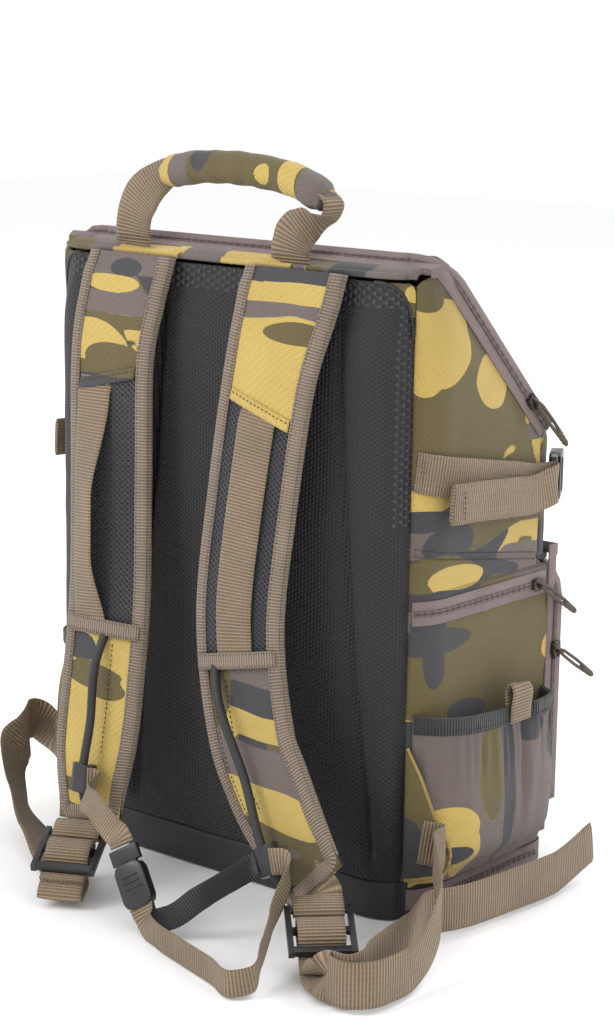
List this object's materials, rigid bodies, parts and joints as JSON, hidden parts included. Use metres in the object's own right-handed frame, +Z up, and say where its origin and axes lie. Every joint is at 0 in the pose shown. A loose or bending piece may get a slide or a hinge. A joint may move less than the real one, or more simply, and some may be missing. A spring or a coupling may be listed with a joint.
{
  "type": "tackle backpack",
  "caption": "Camouflage fishing backpack with sloped zip lid, front pocket, side pockets, grab handle, mesh back, padded shoulder straps, sternum strap and ladder locks.",
  "frame": {"origin": "middle of the underside of the base, on the floor the bag stands on", "axes": "+X to the right when facing the mesh back panel, -Y out of the mesh back panel towards the wearer, +Y out of the front pocket, +Z up"},
  "size_m": [0.4903, 0.4103, 0.558],
  "materials": {
    "camo_fabric": "matt camouflage twill in ochre, olive, brown and charcoal",
    "air_mesh": "black spacer mesh",
    "lining": "dark coated lining",
    "foam": "closed-cell foam",
    "board": "smooth polyethylene sheet",
    "coated_base": "smooth coated black fabric",
    "zipper_tape": "woven mauve-brown tape",
    "black_elastic": "ribbed black elastic",
    "khaki_webbing": "ribbed khaki-brown webbing",
    "black_acetal": "satin black moulded plastic",
    "rubber_rail": "matt black rubber",
    "painted_slider": "dark painted metal",
    "pull_cord": "brown braided cord"
  },
  "bodies": {
    "bag": {"back_mesh_panel": "air_mesh", "back_foam": "foam", "back_liner": "lining", "back_stiffener": "board", "base_tray": "coated_base", "base_zipper_band": "zipper_tape", "side_panel_left": "camo_fabric", "side_panel_right": "camo_fabric", "compartment_shelf": "lining", "front_band": "camo_fabric", "top_strip": "camo_fabric", "lid_zipper_body_tape": "zipper_tape", "pocket_zipper_body_tape": "zipper_tape", "side_zipper_left": "zipper_tape", "side_zipper_right": "zipper_tape", "side_pocket_left": "camo_fabric", "side_pocket_right": "camo_fabric", "pocket_binding_left": "black_elastic", "pocket_binding_right": "black_elastic", "strap_wing_left": "camo_fabric", "strap_wing_right": "camo_fabric", "side_buckle_female_left": "black_acetal", "side_buckle_female_right": "black_acetal", "lower_webbing_left": "khaki_webbing", "lower_webbing_right": "khaki_webbing"},
    "lid": {"lid_panel": "camo_fabric", "lid_zipper_lid_tape": "zipper_tape"},
    "front_pocket": {"front_pocket": "camo_fabric", "pocket_zipper_pocket_tape": "zipper_tape"},
    "lid_zip_slider": {"lid_zip_slider": "painted_slider"},
    "lid_zip_pull": {"lid_zip_pull": "pull_cord"},
    "pocket_zip_slider": {"pocket_zip_slider": "painted_slider"},
    "pocket_zip_pull": {"pocket_zip_pull": "pull_cord"},
    "side_zip_slider": {"side_zip_slider": "painted_slider"},
    "side_zip_pull": {"side_zip_pull": "pull_cord"},
    "side_strap_left": {"side_buckle_male_left": "black_acetal", "side_strap_left": "khaki_webbing"},
    "side_strap_right": {"side_buckle_male_right": "black_acetal", "side_strap_right": "khaki_webbing"},
    "handle": {"handle_leg_left": "khaki_webbing", "handle_leg_right": "khaki_webbing", "handle_grip": "camo_fabric"},
    "harness": {"shoulder_pad_left": "camo_fabric", "shoulder_pad_right": "camo_fabric", "shoulder_webbing_left": "khaki_webbing", "shoulder_webbing_right": "khaki_webbing", "cross_webbing_left": "khaki_webbing", "cross_webbing_right": "khaki_webbing", "sternum_rail_left": "rubber_rail", "sternum_rail_right": "rubber_rail"},
    "sternum_slider_right": {"sternum_slider_right": "black_acetal"},
    "sternum_slider_left": {"sternum_slider_left": "black_acetal"},
    "sternum_female": {"sternum_buckle_female": "black_acetal", "sternum_elastic": "black_elastic", "sternum_loop": "khaki_webbing"},
    "sternum_male": {"sternum_buckle_male": "black_acetal", "sternum_webbing": "khaki_webbing"},
    "ladder_lock_left": {"ladder_lock_left": "black_acetal"},
    "ladder_lock_right": {"ladder_lock_right": "black_acetal"}
  },
  "joints": [
    {"name": "lid_open", "type": "hinge", "parent": "bag", "child": "lid", "pos_m": [0, 0.094, 0.335], "axis": [-1, 0, 0], "range_deg": [0, 70]},
    {"name": "front_pocket_open", "type": "hinge", "parent": "bag", "child": "front_pocket", "pos_m": [0, 0.094, 0.0345], "axis": [-1, 0, 0], "range_deg": [0, 80]},
    {"name": "lid_zip_travel", "type": "slide", "parent": "bag", "child": "lid_zip_slider", "axis": [0, -0.714, 0.7001], "range_m": [-0.02, 0.118]},
    {"name": "lid_zip_pull_swing", "type": "hinge", "parent": "lid_zip_slider", "child": "lid_zip_pull", "pos_m": [0.1926, 0.05116, 0.37701], "axis": [1, 0, 0], "range_deg": [0, 110]},
    {"name": "pocket_zip_travel", "type": "slide", "parent": "bag", "child": "pocket_zip_slider", "axis": [0, 0, 1], "range_m": [-0.112, 0.032]},
    {"name": "pocket_zip_pull_swing", "type": "hinge", "parent": "pocket_zip_slider", "child": "pocket_zip_pull", "pos_m": [0.1926, 0.094, 0.178], "axis": [1, 0, 0], "range_deg": [-62, 60]},
    {"name": "side_zip_travel", "type": "slide", "parent": "bag", "child": "side_zip_slider", "axis": [0, 1, 0], "range_m": [-0.104, 0.005]},
    {"name": "side_zip_pull_swing", "type": "hinge", "parent": "side_zip_slider", "child": "side_zip_pull", "pos_m": [0.1926, 0.066, 0.235], "axis": [1, 0, 0], "range_deg": [-62, 60]},
    {"name": "side_buckle_left_release", "type": "slide", "parent": "bag", "child": "side_strap_left", "axis": [-0.5, -0.866, 0], "range_m": [0, 0.02]},
    {"name": "side_buckle_right_release", "type": "slide", "parent": "bag", "child": "side_strap_right", "axis": [0.5, -0.866, 0], "range_m": [0, 0.02]},
    {"name": "handle_fold", "type": "hinge", "parent": "bag", "child": "handle", "pos_m": [0, -0.078, 0.487], "axis": [1, 0, 0], "range_deg": [-65, 85]},
    {"name": "harness_swing", "type": "hinge", "parent": "bag", "child": "harness", "pos_m": [0, -0.0985, 0.472], "axis": [-1, 0, 0], "range_deg": [0, 20], "deforming": ["lower_webbing_left", "lower_webbing_right"]},
    {"name": "sternum_right_height", "type": "slide", "parent": "harness", "child": "sternum_slider_right", "axis": [-0.5391, 0.1541, 0.828], "range_m": [0, 0.09], "deforming": ["sternum_elastic", "sternum_loop"]},
    {"name": "sternum_left_height", "type": "slide", "parent": "harness", "child": "sternum_slider_left", "axis": [-0.0375, 0.1821, 0.9826], "range_m": [0, 0.0778]},
    {"name": "sternum_strap_shift", "type": "slide", "parent": "sternum_slider_right", "child": "sternum_female", "axis": [1, -0.0013, 0], "range_m": [0, 0.0477], "deforming": ["sternum_elastic", "sternum_loop"]},
    {"name": "sternum_buckle_release", "type": "slide", "parent": "sternum_slider_left", "child": "sternum_male", "axis": [-0.5794, 0.1598, 0.7992], "range_m": [0, 0.022], "deforming": ["sternum_webbing"]},
    {"name": "ladder_lock_left_tilt", "type": "hinge", "parent": "harness", "child": "ladder_lock_left", "pos_m": [-0.058, -0.186, 0.042], "axis": [-0.8628, -0.5048, 0.0255], "range_deg": [0, 35], "deforming": ["lower_webbing_left"]},
    {"name": "ladder_lock_right_tilt", "type": "hinge", "parent": "harness", "child": "ladder_lock_right", "pos_m": [0.1735, -0.1755, 0.0365], "axis": [-0.7071, -0.7071, 0], "range_deg": [0, 35], "deforming": ["lower_webbing_right"]}
  ],
  "couplings": [
    {"joint": "sternum_left_height", "follows": "sternum_right_height", "ratio": 0.84274},
    {"joint": "sternum_strap_shift", "follows": "sternum_right_height", "ratio": 0.50744}
  ]
}
